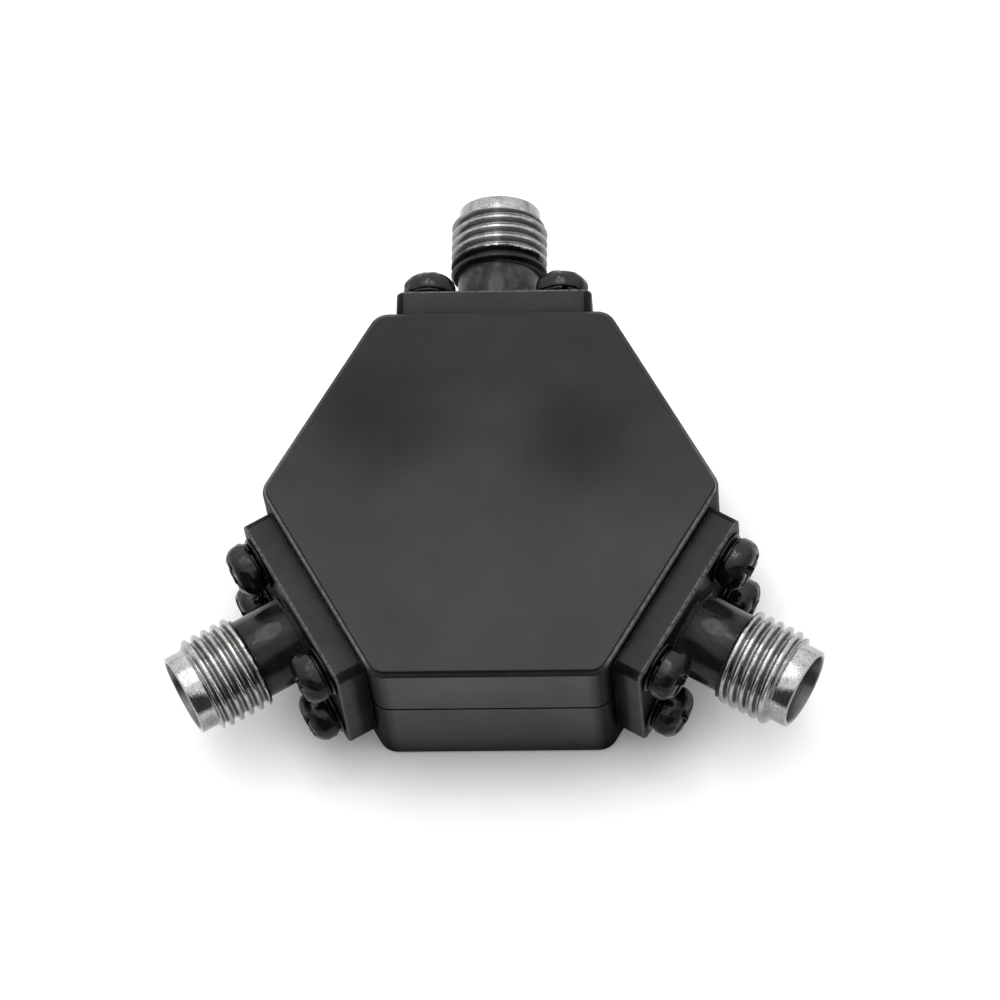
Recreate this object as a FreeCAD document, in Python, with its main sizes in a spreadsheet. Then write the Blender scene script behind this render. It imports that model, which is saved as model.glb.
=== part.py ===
import FreeCAD, Part
import math
import os

import Sketcher

# A three-port coaxial power splitter in a six-sided black housing.
# Millimetres. The origin is at the middle of the underside, +Z up, and the
# common port points along +Y. The other two ports are 120 degrees either side.

SIZES = [
    # housing: a six-sided block in two halves
    ("port_face_distance", 12.7, "axis of the housing to each face that carries a port"),
    ("open_face_distance", 12.85, "axis of the housing to each plain face"),
    ("body_height", 7.5, "lower half, underside to seam"),
    ("cover_height", 5.5, "upper half, seam to top"),
    ("corner_radius", 1.3, "upright outer corners"),
    ("top_chamfer", 0.35, "broken edge round the top"),
    ("paint_round", 0.09, "rounding of the top's broken edge under the paint"),
    ("bottom_chamfer", 0.3, "broken edge round the underside"),
    ("seam_chamfer", 0.1, "broken edge of each half at the seam"),
    ("housing_wall", 4.0, "side walls, thick enough for the flange screws"),
    ("cover_roof", 1.6, "top plate of the cover over the cavity"),
    ("cavity_corner_radius", 1.0, "upright corners of the cavity"),
    ("lip_width", 0.8, "locating lip of the cover"),
    ("lip_height", 0.45, "locating lip, seam to its end"),
    ("lip_clearance", 0.05, "play round the locating lip"),
    # ports
    ("axis_height", 6.8, "underside to the port axis"),
    ("flange_width", 12.7, "mounting flange across"),
    ("flange_height", 10.5, "mounting flange, upright"),
    ("flange_thickness", 1.95, "mounting flange"),
    ("flange_corner_radius", 0.65, "corners of the flange"),
    ("flange_edge", 0.12, "rounded edge of the flange's outer face"),
    ("hole_spacing_across", 8.64, "flange holes, side to side"),
    ("hole_spacing_up", 6.2, "flange holes, up and down"),
    ("flange_hole_clearance", 0.15, "play of a screw in the flange"),
    ("collar_radius", 2.95, "step where the neck meets the flange"),
    ("collar_length", 0.25, "step where the neck meets the flange"),
    ("neck_radius", 2.7, "plain neck"),
    ("neck_length", 3.15, "plain neck, collar to thread"),
    ("thread_radius", 3.175, "coupling thread, outside"),
    ("thread_length", 3.65, "coupling thread"),
    ("thread_chamfer", 0.35, "ends of the coupling thread"),
    ("pilot_radius", 2.68, "plain end in front of the thread"),
    ("pilot_length", 1.25, "plain end in front of the thread"),
    ("pilot_edge", 0.12, "broken edges of the mouth"),
    ("mouth_radius", 2.3, "open bore that the plug enters"),
    ("mouth_depth", 1.93, "open bore, rim to the insulator"),
    ("insulator_radius", 2.05, "insulator"),
    ("insulator_clearance", 0.02, "play round the insulator"),
    ("housing_bore_clearance", 0.05, "play of the insulator in the housing"),
    ("staking_radius", 0.7, "cross hole filled with resin"),
    ("staking_distance", 3.7, "housing face to the cross hole"),
    ("resin_sink", 0.16, "hollow in the resin"),
    ("resin_dish_radius", 2.2, "ball radius of the hollow in the resin"),
    # centre contacts
    ("contact_radius", 0.635, "socket contact"),
    ("contact_recess", 0.05, "insulator's face to the contact's end"),
    ("contact_clearance", 0.01, "play of the contact in the insulator"),
    ("socket_radius", 0.47, "hole of the socket"),
    ("socket_depth", 2.2, "hole of the socket"),
    ("slot_width", 0.16, "saw cuts that make the socket springy"),
    ("slot_length", 1.8, "saw cuts that make the socket springy"),
    ("launch_radius", 0.32, "thin tail that lies on the circuit"),
    ("launch_length", 2.0, "thin tail that lies on the circuit"),
    # circuit
    ("board_thickness", 0.8, "circuit board"),
    ("board_gap", 0.15, "circuit board to the cavity wall"),
    ("trace_thickness", 0.05, "plated copper"),
    ("trace_width", 1.6, "copper strip from each port"),
    ("star_radius", 1.5, "copper star point in the middle"),
    ("resistor_length", 1.6, "chip resistor"),
    ("resistor_width", 0.8, "chip resistor"),
    ("resistor_thickness", 0.45, "chip resistor"),
    ("resistor_terminal", 0.3, "metal end of a chip resistor"),
    ("board_screw_radius", 0.8, "board screw, thread"),
    ("board_screw_length", 3.0, "board screw, under its head"),
    ("board_screw_inset", 2.85, "plain wall of the cavity to each board screw"),
    ("board_head_radius", 1.4, "board screw, head"),
    ("board_head_height", 0.9, "board screw, head"),
    ("board_recess_width", 0.4, "slot in the board screw"),
    ("board_recess_depth", 0.4, "slot in the board screw"),
    # flange screws and their washers
    ("screw_radius", 1.0, "flange screw, thread"),
    ("screw_bite", 3.0, "flange screw, depth in the housing"),
    ("screw_hole_spare", 0.4, "hole beyond a screw's end"),
    ("thread_clearance", 0.02, "play of a screw in its tapped hole"),
    ("head_radius", 1.68, "pan head"),
    ("head_height", 1.25, "pan head"),
    ("head_round", 0.8, "rounded top edge of the pan head"),
    ("recess_width", 0.5, "arm of the cross recess"),
    ("recess_span", 2.1, "cross recess, tip to tip"),
    ("recess_depth", 0.75, "cross recess"),
    ("flat_washer_radius", 1.75, "plain washer"),
    ("flat_washer_thickness", 0.25, "plain washer"),
    ("spring_washer_radius", 1.55, "split washer"),
    ("spring_washer_thickness", 0.4, "split washer"),
    ("spring_washer_split", 0.3, "gap of the split washer"),
    ("washer_clearance", 0.1, "play of a screw in its washers"),
]

PORTS = [("rear", 90), ("left", 210), ("right", 330)]
THIRD = 360 / len(PORTS)
SIDE_TURN = THIRD / 2
FIRST_PORT = PORTS[0][1]
FREE_END = 1.0  # how far a cutting shape runs past the solid it cuts
UP = FreeCAD.Vector(0, 0, 1)
ACROSS = FreeCAD.Vector(1, 0, 0)

doc = FreeCAD.newDocument("power_splitter")
sheet = doc.addObject("Spreadsheet::Sheet", "Sizes")
for row, (alias, number, note) in enumerate(SIZES, start=1):
    sheet.set("A%d" % row, note)
    sheet.set("B%d" % row, str(number))
    sheet.setAlias("B%d" % row, alias)
doc.recompute()

nodes = []


def size(words):
    """Write a formula in the sheet's own names, such as S.neck_radius."""
    return words.replace("S.", "Sizes.")


def value(words):
    return float(sheet.evalExpression(size(words)))


# Derived places along a port, measured outwards from the housing's face.
COLLAR_END = "(S.flange_thickness + S.collar_length)"
THREAD_START = "(%s + S.neck_length)" % COLLAR_END
THREAD_END = "(%s + S.thread_length)" % THREAD_START
RIM = "(%s + S.pilot_length)" % THREAD_END
INSULATOR_FACE = "(%s - S.mouth_depth)" % RIM
WASHER_STACK = "(S.flat_washer_thickness + S.spring_washer_thickness)"
HEAD_SEAT = "(S.flange_thickness + %s)" % WASHER_STACK

# Derived places in the cavity, from the circuit up to the port axis.
TRACE_TOP = "(S.axis_height - S.launch_radius)"
BOARD_TOP = "(%s - S.trace_thickness)" % TRACE_TOP
BOARD_SEAT = "(%s - S.board_thickness)" % BOARD_TOP
SCREW_CIRCLE = "(S.open_face_distance - S.housing_wall - S.board_screw_inset)"
TOTAL_HEIGHT = "(S.body_height + S.cover_height)"


# Helpers for sketches and features


def new_body(label):
    body = doc.addObject("PartDesign::Body", label)
    body.Label = label
    nodes.append(body)
    return body


def origin_part(body, role):
    return next(item for item in body.Origin.OriginFeatures if item.Role == role)


def new_sketch(body, name, plane="XY_Plane", offset="0"):
    sketch = body.newObject("Sketcher::SketchObject", name)
    sketch.AttachmentSupport = [(origin_part(body, plane), "")]
    sketch.MapMode = "FlatFace"
    sketch.setExpression(".AttachmentOffset.Base.z", size(offset))
    return sketch


def bind(sketch, constraint, words):
    index = sketch.addConstraint(constraint)
    sketch.setExpression("Constraints[%d]" % index, size(words))


def hold_point(sketch, line, end, x, y):
    """Fix one end of a line by its two distances from the sketch's origin."""
    for kind, axis, words in (("DistanceX", -2, x), ("DistanceY", -1, y)):
        number = value(words)
        if abs(number) < 1e-9:
            sketch.addConstraint(Sketcher.Constraint("PointOnObject", line, end, axis))
        else:
            constraint = Sketcher.Constraint(kind, -1, 1, line, end, number)
            bind(sketch, constraint, words)


def polygon(sketch, corners):
    points = [FreeCAD.Vector(value(x), value(y), 0) for x, y in corners]
    first = sketch.GeometryCount
    count = len(points)
    for index, point in enumerate(points):
        sketch.addGeometry(Part.LineSegment(point, points[(index + 1) % count]), False)
    for index, (x, y) in enumerate(corners):
        line = first + index
        following = first + (index + 1) % count
        sketch.addConstraint(Sketcher.Constraint("Coincident", line, 2, following, 1))
        hold_point(sketch, line, 1, x, y)


def rectangle(sketch, width, height):
    x, y = "%s / 2" % width, "%s / 2" % height
    polygon(sketch, [("-" + x, "-" + y), (x, "-" + y), (x, y), ("-" + x, y)])


def circle(sketch, x, y, radius):
    middle = FreeCAD.Vector(value(x), value(y), 0)
    index = sketch.addGeometry(Part.Circle(middle, UP, value(radius)), False)
    hold_point(sketch, index, 3, x, y)
    bind(sketch, Sketcher.Constraint("Radius", index, value(radius)), radius)


def six_sides(sketch, outset):
    """The housing's outline, moved out by a formula (in, where negative)."""
    port = "(S.port_face_distance + %s)" % outset
    plain = "(S.open_face_distance + %s)" % outset
    corners = []
    for side in range(2 * len(PORTS)):
        angle = FIRST_PORT + side * SIDE_TURN
        after = angle + SIDE_TURN
        near, far = (port, plain) if side % 2 == 0 else (plain, port)
        x = "(%s * sin(%g) - %s * sin(%g)) / sin(%g)" % (near, after, far, angle, SIDE_TURN)
        y = "(%s * cos(%g) - %s * cos(%g)) / sin(%g)" % (far, angle, near, after, SIDE_TURN)
        corners.append((x, y))
    polygon(sketch, corners)


def pad(body, sketch, name, length, reverse=False):
    feature = body.newObject("PartDesign::Pad", name)
    feature.Profile = sketch
    feature.Reversed = reverse
    feature.setExpression("Length", size(length))
    doc.recompute()
    return feature


def pocket(body, sketch, name, length, reverse=False):
    before = body.Shape.Volume
    feature = body.newObject("PartDesign::Pocket", name)
    feature.Profile = sketch
    feature.Reversed = reverse
    feature.setExpression("Length", size(length))
    doc.recompute()
    assert body.Shape.Volume < before, "%s cuts nothing" % name
    return feature


def revolve(body, sketch, name):
    feature = body.newObject("PartDesign::Revolution", name)
    feature.Profile = sketch
    feature.ReferenceAxis = (sketch, ["V_Axis"])
    feature.Angle = 360
    doc.recompute()
    return feature


def round_ports(body, feature, name):
    """Repeat a feature at the three ports."""
    pattern = body.newObject("PartDesign::PolarPattern", name)
    pattern.Originals = [feature]
    pattern.Axis = (origin_part(body, "Z_Axis"), [""])
    pattern.Angle = 360
    pattern.Occurrences = len(PORTS)
    body.Tip = pattern
    doc.recompute()
    return pattern


def edge_names(shape, wanted):
    return ["Edge%d" % (i + 1) for i, edge in enumerate(shape.Edges) if wanted(edge)]


def is_upright(edge):
    ends = edge.Vertexes
    if edge.Curve.TypeId != "Part::GeomLine" or len(ends) != 2:
        return False
    shift = ends[1].Point - ends[0].Point
    return math.hypot(shift.x, shift.y) < 1e-6


def is_level(height):
    def wanted(edge):
        box = edge.BoundBox
        return abs(box.ZMin - height) < 1e-6 and abs(box.ZMax - height) < 1e-6

    return wanted


def dress(body, kind, name, base, wanted, words):
    """Fillet or chamfer the edges of the last feature that the test picks."""
    feature = body.newObject("PartDesign::" + kind, name)
    feature.Base = (base, edge_names(base.Shape, wanted))
    feature.setExpression("Radius" if kind == "Fillet" else "Size", size(words))
    doc.recompute()
    return feature


def set_on_port(item, angle, outward="0", across="0", up="0"):
    """Stand an item on a port: its own Z points outwards and its own Y up."""
    turn = math.radians(angle)
    out = FreeCAD.Vector(round(math.cos(turn), 12), round(math.sin(turn), 12), 0)
    item.Placement = FreeCAD.Placement(FreeCAD.Vector(), FreeCAD.Rotation(UP.cross(out), UP, out, "XYZ"))
    reach = "(S.port_face_distance + %s)" % outward
    x = "%s * cos(%g) - %s * sin(%g)" % (reach, angle, across, angle)
    y = "%s * sin(%g) + %s * cos(%g)" % (reach, angle, across, angle)
    item.setExpression(".Placement.Base.x", size(x))
    item.setExpression(".Placement.Base.y", size(y))
    item.setExpression(".Placement.Base.z", size("S.axis_height + " + up))


def set_round_axis(item, angle):
    """Turn an item, drawn with its outward side along +X, about the housing's axis."""
    item.Placement = FreeCAD.Placement(FreeCAD.Vector(), FreeCAD.Rotation(UP, angle))


# Housing halves


def cut_ports(body, flange_row):
    """Bore the three ports and drill one row of tapped holes beside each."""
    wall = new_sketch(body, body.Name + "_port_circle", "XZ_Plane", "-S.port_face_distance")
    circle(wall, "0", "S.axis_height", "S.insulator_radius + S.housing_bore_clearance")
    bore = pocket(body, wall, body.Name + "_port_bore", "S.housing_wall", True)
    round_ports(body, bore, body.Name + "_port_bores")
    row = new_sketch(body, body.Name + "_screw_circles", "XZ_Plane", "-S.port_face_distance")
    for side in ("", "-"):
        x = side + "S.hole_spacing_across / 2"
        circle(row, x, flange_row, "S.screw_radius + S.thread_clearance")
    holes = pocket(body, row, body.Name + "_tapped_holes", "S.screw_bite + S.screw_hole_spare", True)
    round_ports(body, holes, body.Name + "_tapped_hole_ring")


def lower_housing():
    body = new_body("lower_housing")
    outline = new_sketch(body, "lower_outline")
    six_sides(outline, "0")
    block = pad(body, outline, "lower_block", "S.body_height")
    block = dress(body, "Fillet", "lower_corners", block, is_upright, "S.corner_radius")
    block = dress(body, "Chamfer", "underside_edge", block, is_level(0), "S.bottom_chamfer")
    top = is_level(value("S.body_height"))
    dress(body, "Chamfer", "lower_seam_edge", block, top, "S.seam_chamfer")

    well = new_sketch(body, "lower_cavity_outline", offset="S.body_height")
    six_sides(well, "-S.housing_wall")
    cavity = pocket(body, well, "lower_cavity", "S.body_height - " + BOARD_SEAT)
    floor = value(BOARD_SEAT)
    inner = value("S.housing_wall") / 2

    def cavity_corner(edge):
        reach = math.hypot(edge.Vertexes[0].X, edge.Vertexes[0].Y)
        inside = reach < value("S.open_face_distance / cos(%g)" % (SIDE_TURN / 2)) - inner
        return is_upright(edge) and inside and edge.BoundBox.ZMin > floor - 1e-6

    dress(body, "Fillet", "lower_cavity_corners", cavity, cavity_corner, "S.cavity_corner_radius")
    rebate = new_sketch(body, "rebate_outline", offset="S.body_height")
    six_sides(rebate, "-S.housing_wall + S.lip_width")
    pocket(body, rebate, "rebate", "S.lip_height + S.lip_clearance")
    cut_ports(body, "S.axis_height - S.hole_spacing_up / 2")

    drill = new_sketch(body, "board_screw_circle", offset=BOARD_SEAT)
    turn = FIRST_PORT + SIDE_TURN
    x = SCREW_CIRCLE + " * cos(%g)" % turn
    y = SCREW_CIRCLE + " * sin(%g)" % turn
    circle(drill, x, y, "S.board_screw_radius + S.thread_clearance")
    depth = "S.board_screw_length - S.board_thickness + S.screw_hole_spare"
    hole = pocket(body, drill, "board_screw_hole", depth)
    round_ports(body, hole, "board_screw_holes")


def upper_cover():
    body = new_body("upper_cover")
    outline = new_sketch(body, "cover_outline", offset="S.body_height")
    six_sides(outline, "0")
    block = pad(body, outline, "cover_block", "S.cover_height")
    block = dress(body, "Fillet", "cover_corners", block, is_upright, "S.corner_radius")
    top = is_level(value(TOTAL_HEIGHT))
    block = dress(body, "Chamfer", "top_edge", block, top, "S.top_chamfer")
    under = is_level(value(TOTAL_HEIGHT + " - S.top_chamfer"))
    block = dress(body, "Fillet", "top_edge_upper_round", block, top, "S.paint_round")
    block = dress(body, "Fillet", "top_edge_lower_round", block, under, "S.paint_round")
    seam = is_level(value("S.body_height"))
    dress(body, "Chamfer", "cover_seam_edge", block, seam, "S.seam_chamfer")

    lip = new_sketch(body, "lip_outline", offset="S.body_height")
    six_sides(lip, "-S.housing_wall + S.lip_width - S.lip_clearance")
    pad(body, lip, "locating_lip", "S.lip_height", True)
    well = new_sketch(body, "cover_cavity_outline", offset="S.body_height - S.lip_height")
    six_sides(well, "-S.housing_wall")
    depth = "S.cover_height - S.cover_roof + S.lip_height"
    cavity = pocket(body, well, "cover_cavity", depth, True)
    ceiling = value(TOTAL_HEIGHT + " - S.cover_roof")

    def cavity_corner(edge):
        return is_upright(edge) and abs(edge.BoundBox.ZMax - ceiling) < 1e-6

    dress(body, "Fillet", "cover_cavity_corners", cavity, cavity_corner, "S.cavity_corner_radius")
    cut_ports(body, "S.axis_height + S.hole_spacing_up / 2")


# Connectors


def flange_holes(sketch, radius):
    for across in ("-S.hole_spacing_across / 2", "S.hole_spacing_across / 2"):
        for up in ("-S.hole_spacing_up / 2", "S.hole_spacing_up / 2"):
            circle(sketch, across, up, radius)


def connector_shell(port, angle):
    body = new_body(port + "_connector_shell")
    plate = new_sketch(body, port + "_flange_outline")
    rectangle(plate, "S.flange_width", "S.flange_height")
    flange = pad(body, plate, port + "_flange", "S.flange_thickness")
    flange = dress(body, "Fillet", port + "_flange_corners", flange, is_upright, "S.flange_corner_radius")
    face = is_level(value("S.flange_thickness"))
    dress(body, "Fillet", port + "_flange_edge", flange, face, "S.flange_edge")

    profile = new_sketch(body, port + "_barrel_profile", "XZ_Plane")
    polygon(profile, [
        ("0", "S.flange_thickness / 2"),
        ("S.collar_radius", "S.flange_thickness / 2"),
        ("S.collar_radius", COLLAR_END),
        ("S.neck_radius", COLLAR_END),
        ("S.neck_radius", THREAD_START),
        ("S.thread_radius - S.thread_chamfer / 2", THREAD_START),
        ("S.thread_radius", THREAD_START + " + S.thread_chamfer / 2"),
        ("S.thread_radius", THREAD_END + " - S.thread_chamfer"),
        ("S.pilot_radius", THREAD_END),
        ("S.pilot_radius", RIM + " - S.pilot_edge"),
        ("S.pilot_radius - S.pilot_edge", RIM),
        ("0", RIM),
    ])
    revolve(body, profile, port + "_barrel")

    bore = new_sketch(body, port + "_bore_profile", "XZ_Plane")
    polygon(bore, [
        ("0", "-%g" % FREE_END),
        ("S.insulator_radius + S.insulator_clearance", "-%g" % FREE_END),
        ("S.insulator_radius + S.insulator_clearance", INSULATOR_FACE),
        ("S.mouth_radius", INSULATOR_FACE),
        ("S.mouth_radius", RIM + " - S.pilot_edge"),
        ("S.mouth_radius + S.pilot_edge", RIM),
        ("S.mouth_radius + S.pilot_edge", RIM + " + %g" % FREE_END),
        ("0", RIM + " + %g" % FREE_END),
    ])
    before = body.Shape.Volume
    groove = body.newObject("PartDesign::Groove", port + "_bore")
    groove.Profile = bore
    groove.ReferenceAxis = (bore, ["V_Axis"])
    groove.Angle = 360
    doc.recompute()
    assert body.Shape.Volume < before, "the bore cuts nothing"

    holes = new_sketch(body, port + "_flange_circles", offset="S.flange_thickness")
    flange_holes(holes, "S.screw_radius + S.flange_hole_clearance")
    pocket(body, holes, port + "_flange_holes", "S.flange_thickness")

    cross = new_sketch(body, port + "_staking_circle", "XZ_Plane")
    circle(cross, "0", "S.staking_distance", "S.staking_radius")
    pocket(body, cross, port + "_staking_hole", "S.collar_radius", False)
    set_on_port(body, angle)


def dielectric(port, angle):
    outer = doc.addObject("Part::Cylinder", port + "_insulator_rod")
    outer.setExpression("Radius", size("S.insulator_radius"))
    outer.setExpression("Height", size("S.housing_wall + " + INSULATOR_FACE))
    inner = doc.addObject("Part::Cylinder", port + "_insulator_drill")
    inner.setExpression("Radius", size("S.contact_radius + S.contact_clearance"))
    inner.setExpression("Height", size("S.housing_wall + " + INSULATOR_FACE))
    tube = doc.addObject("Part::Cut", port + "_dielectric")
    tube.Label = port + "_dielectric"
    tube.Base = outer
    tube.Tool = inner
    set_on_port(tube, angle, "(-S.housing_wall)")
    nodes.append(tube)


def centre_contact(port, angle):
    body = new_body(port + "_centre_contact")
    tip = INSULATOR_FACE + " - S.contact_recess"
    profile = new_sketch(body, port + "_contact_profile", "XZ_Plane")
    polygon(profile, [
        ("0", "-S.housing_wall - S.launch_length"),
        ("S.launch_radius", "-S.housing_wall - S.launch_length"),
        ("S.launch_radius", "-S.housing_wall"),
        ("S.contact_radius", "-S.housing_wall"),
        ("S.contact_radius", tip),
        ("S.socket_radius", tip),
        ("S.socket_radius", tip + " - S.socket_depth"),
        ("0", tip + " - S.socket_depth"),
    ])
    revolve(body, profile, port + "_contact_turned")
    for name, width, height in (("a", "S.slot_width", "S.contact_radius * 3"),
                                ("b", "S.contact_radius * 3", "S.slot_width")):
        cut = new_sketch(body, "%s_slot_outline_%s" % (port, name), offset=tip)
        rectangle(cut, width, height)
        pocket(body, cut, "%s_slot_%s" % (port, name), "S.slot_length")
    set_on_port(body, angle)


def resin_plug(port, angle):
    """Cured resin in the cross hole, hollow on top, seated on the insulator."""
    rod = doc.addObject("Part::Cylinder", port + "_resin_rod")
    rod.setExpression("Radius", size("S.staking_radius"))
    rod.setExpression("Height", size("S.neck_radius"))
    rod.Placement = FreeCAD.Placement(FreeCAD.Vector(), FreeCAD.Rotation(ACROSS, -90))
    rod.setExpression(".Placement.Base.z", size("S.staking_distance"))
    seat = doc.addObject("Part::Cylinder", port + "_resin_seat")
    seat.setExpression("Radius", size("S.insulator_radius"))
    seat.setExpression("Height", size(INSULATOR_FACE))
    bed = doc.addObject("Part::Cut", port + "_resin_bed")
    bed.Base = rod
    bed.Tool = seat
    ball = doc.addObject("Part::Sphere", port + "_resin_ball")
    ball.setExpression("Radius", size("S.resin_dish_radius"))
    ball.setExpression(".Placement.Base.y", size("S.neck_radius + S.resin_dish_radius - S.resin_sink"))
    ball.setExpression(".Placement.Base.z", size("S.staking_distance"))
    plug = doc.addObject("Part::Cut", port + "_resin_plug")
    plug.Label = port + "_resin_plug"
    plug.Base = bed
    plug.Tool = ball
    set_on_port(plug, angle)
    nodes.append(plug)


# Fasteners


def cross_recess(sketch, width, span):
    half, tip = "%s / 2" % width, "%s / 2" % span
    corners = []
    for sx, sy in (("", ""), ("-", ""), ("-", "-"), ("", "-")):
        arm = [(sx + tip, sy + half), (sx + half, sy + half), (sx + half, sy + tip)]
        if sx != sy:
            arm.reverse()
        corners += arm
    polygon(sketch, corners)


def flange_screw(port, angle, side, across, row, up):
    name = "%s_flange_screw_%s_%s" % (port, row, side)
    body = new_body(name)
    top = "S.head_height"
    shank = "(S.screw_bite + %s)" % HEAD_SEAT
    profile = new_sketch(body, name + "_profile", "XZ_Plane")
    polygon(profile, [
        ("0", "-" + shank),
        ("S.screw_radius", "-" + shank),
        ("S.screw_radius", "0"),
        ("S.head_radius", "0"),
        ("S.head_radius", top),
        ("0", top),
    ])
    turned = revolve(body, profile, name + "_turned")
    rim = is_level(value(top))
    dress(body, "Fillet", name + "_pan", turned, rim, "S.head_round")
    cross = new_sketch(body, name + "_cross", offset=top)
    cross_recess(cross, "S.recess_width", "S.recess_span")
    pocket(body, cross, name + "_recess", "S.recess_depth")
    set_on_port(body, angle, HEAD_SEAT, across, up)


def washers(port, angle, name, radius, thickness, seat, split):
    body = new_body("%s_%s" % (port, name))
    rings = new_sketch(body, "%s_%s_circles" % (port, name))
    flange_holes(rings, radius)
    flange_holes(rings, "S.screw_radius + S.washer_clearance")
    pad(body, rings, "%s_%s_rings" % (port, name), thickness)
    if split:
        gaps = new_sketch(body, "%s_%s_gaps" % (port, name), offset=thickness)
        for across in ("-S.hole_spacing_across / 2", "S.hole_spacing_across / 2"):
            for up in ("-S.hole_spacing_up / 2", "S.hole_spacing_up / 2"):
                left, right = "%s - %s / 2" % (across, split), "%s + %s / 2" % (across, split)
                end = "%s + %s + S.washer_clearance" % (up, radius)
                polygon(gaps, [(left, up), (right, up), (right, end), (left, end)])
        pocket(body, gaps, "%s_%s_splits" % (port, name), thickness)
    set_on_port(body, angle, seat)


def port_fasteners(port, angle):
    for row, up in (("upper", "S.hole_spacing_up / 2"), ("lower", "-S.hole_spacing_up / 2")):
        for side, across in (("a", "S.hole_spacing_across / 2"), ("b", "(-S.hole_spacing_across / 2)")):
            flange_screw(port, angle, side, across, row, up)
    washers(port, angle, "flat_washers", "S.flat_washer_radius", "S.flat_washer_thickness",
            "S.flange_thickness", None)
    washers(port, angle, "spring_washers", "S.spring_washer_radius", "S.spring_washer_thickness",
            "S.flange_thickness + S.flat_washer_thickness", "S.spring_washer_split")


def board_screw(port, angle):
    name = port + "_board_screw"
    body = new_body(name)
    profile = new_sketch(body, name + "_profile", "XZ_Plane", "0")
    tail = BOARD_TOP + " - S.board_screw_length"
    top = BOARD_TOP + " + S.board_head_height"
    polygon(profile, [
        ("0", tail),
        ("S.board_screw_radius", tail),
        ("S.board_screw_radius", BOARD_TOP),
        ("S.board_head_radius", BOARD_TOP),
        ("S.board_head_radius", top),
        ("0", top),
    ])
    revolve(body, profile, name + "_turned")
    slot = new_sketch(body, name + "_slot_outline", offset=top)
    rectangle(slot, "S.board_head_radius * 3", "S.board_recess_width")
    pocket(body, slot, name + "_slot", "S.board_recess_depth")
    turn = angle + SIDE_TURN
    body.setExpression(".Placement.Base.x", size(SCREW_CIRCLE + " * cos(%g)" % turn))
    body.setExpression(".Placement.Base.y", size(SCREW_CIRCLE + " * sin(%g)" % turn))


# Circuit: a resistive star on a small board


def circuit_board():
    body = new_body("circuit_board")
    outline = new_sketch(body, "board_outline", offset=BOARD_SEAT)
    six_sides(outline, "-S.housing_wall - S.board_gap")
    blank = pad(body, outline, "board_blank", "S.board_thickness")
    dress(body, "Fillet", "board_corners", blank, is_upright, "S.cavity_corner_radius - S.board_gap")
    drill = new_sketch(body, "board_hole_circle", offset=BOARD_TOP)
    turn = FIRST_PORT + SIDE_TURN
    x = SCREW_CIRCLE + " * cos(%g)" % turn
    y = SCREW_CIRCLE + " * sin(%g)" % turn
    circle(drill, x, y, "S.board_screw_radius + S.washer_clearance")
    hole = pocket(body, drill, "board_hole", "S.board_thickness")
    round_ports(body, hole, "board_holes")


def on_board(name, angle, start, length, width, z, height):
    """A flat block on the board, from a distance outwards along one port."""
    body = new_body(name)
    outline = new_sketch(body, name + "_outline", offset=z)
    end, half = "(%s + %s)" % (start, length), "%s / 2" % width
    polygon(outline, [(start, "-" + half), (end, "-" + half), (end, half), (start, half)])
    pad(body, outline, name + "_block", height)
    set_round_axis(body, angle)


def star_circuit():
    star = doc.addObject("Part::Cylinder", "star_trace")
    star.Label = "star_trace"
    star.setExpression("Radius", size("S.star_radius"))
    star.setExpression("Height", size("S.trace_thickness"))
    star.setExpression(".Placement.Base.z", size(BOARD_TOP))
    nodes.append(star)
    inner = "(S.star_radius - S.resistor_terminal)"
    arm = "(%s + S.resistor_length - S.resistor_terminal)" % inner
    arm_length = "(S.port_face_distance - S.housing_wall - S.board_gap - %s)" % arm
    for port, angle in PORTS:
        on_board(port + "_trace", angle, arm, arm_length, "S.trace_width", BOARD_TOP, "S.trace_thickness")
        on_board(port + "_resistor", angle, inner, "S.resistor_length", "S.resistor_width",
                 TRACE_TOP, "S.resistor_thickness")


# Build every piece

lower_housing()
upper_cover()
circuit_board()
star_circuit()
for port, angle in PORTS:
    board_screw(port, angle)
    connector_shell(port, angle)
    dielectric(port, angle)
    centre_contact(port, angle)
    resin_plug(port, angle)
    port_fasteners(port, angle)
doc.recompute()

for item in doc.Objects:
    assert not {"Invalid", "Error"} & set(item.State), "%s failed" % item.Label
for node in nodes:
    assert not node.Shape.isNull() and node.Shape.isValid(), "%s has a bad shape" % node.Label

os.makedirs("parts", exist_ok=True)
for node in nodes:
    node.Shape.exportStep("parts/%s.step" % node.Label)
    box_size = node.Shape.BoundBox
    print("%-32s %d solid(s) %9.3f mm3  z %.2f to %.2f" % (
        node.Label, len(node.Shape.Solids), node.Shape.Volume, box_size.ZMin, box_size.ZMax))
print(len(nodes), "pieces")
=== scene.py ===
# %% [markdown]
# # A three-port coaxial power splitter, dressed for its portrait
# The solids of the splitter are ready: they come in as a fixed frame, in metres, with the
# middle of the underside at the origin. This lesson gives them their finish. It builds the
# camera and the light first, then the paint and the bare steel, then the turned connectors
# with a real thread, and last the small painted screws and washers.

# %% Load the frame
import math
import random

import bpy
from mathutils import Matrix, Vector, noise


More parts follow.
